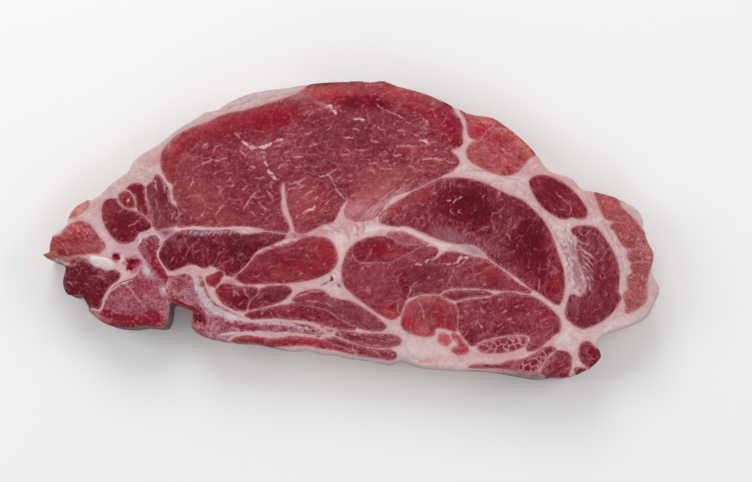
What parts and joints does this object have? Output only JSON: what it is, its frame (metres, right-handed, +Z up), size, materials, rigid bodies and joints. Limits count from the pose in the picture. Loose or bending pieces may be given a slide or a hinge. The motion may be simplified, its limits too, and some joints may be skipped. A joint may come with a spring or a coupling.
{
  "type": "raw pork chop",
  "caption": "Raw bone-in pork shoulder chop: a thick sawn slice of dark lean muscles held in a web of white fat, with a piece of backbone and a rib at one end.",
  "frame": {"origin": "on the flat back face, under the middle of the chop's outline", "axes": "+X along the chop from its bony tip to its round end, +Y towards the long curved back, +Z up out of the cut face"},
  "size_m": [0.2008, 0.0984, 0.0193],
  "materials": {
    "fat": "moist satin",
    "bone": "sawn, moist",
    "cartilage": "smooth, moist",
    "lean": "moist",
    "lean_dark": "moist",
    "lean_bright": "moist",
    "lean_orange": "half dry",
    "lean_marbled": "moist"
  },
  "bodies": {
    "root": {"fat_web": "fat", "fat_cap": "fat", "vertebra": "bone", "rib_head": "bone", "rib": "bone", "cartilage_disc": "cartilage", "eye_muscle": "lean", "cluster_oval": "lean", "cluster_upper": "lean", "small_wedge": "lean", "heart_left": "lean", "dark_corner": "lean_dark", "cluster_large": "lean_dark", "finger_muscle": "lean_dark", "band_muscle": "lean_dark", "core_front": "lean_dark", "core_back": "lean_dark", "tongue_muscle": "lean_dark", "long_muscle": "lean_dark", "rib_strip_upper": "lean_dark", "rib_strip_lower": "lean_dark", "egg_muscle": "lean_dark", "round_muscle": "lean_dark", "crescent_muscle": "lean_dark", "dark_oval": "lean_dark", "shoulder_block": "lean_dark", "thin_wedge": "lean_dark", "heart_right": "lean_dark", "hem_strip": "lean_dark", "corner_muscle": "lean_dark", "nub_muscle": "lean_dark", "nub_fleck": "lean_dark", "bead_muscle": "lean_bright", "oval_muscle": "lean_bright", "flank_strip": "lean_bright", "bead_lower": "lean_bright", "hook_muscle": "lean_bright", "tip_muscle": "lean_orange", "rim_fleck": "lean_orange", "cap_muscle": "lean_orange", "margin_muscle": "lean_orange", "knot_muscle": "lean_marbled"}
  },
  "joints": []
}
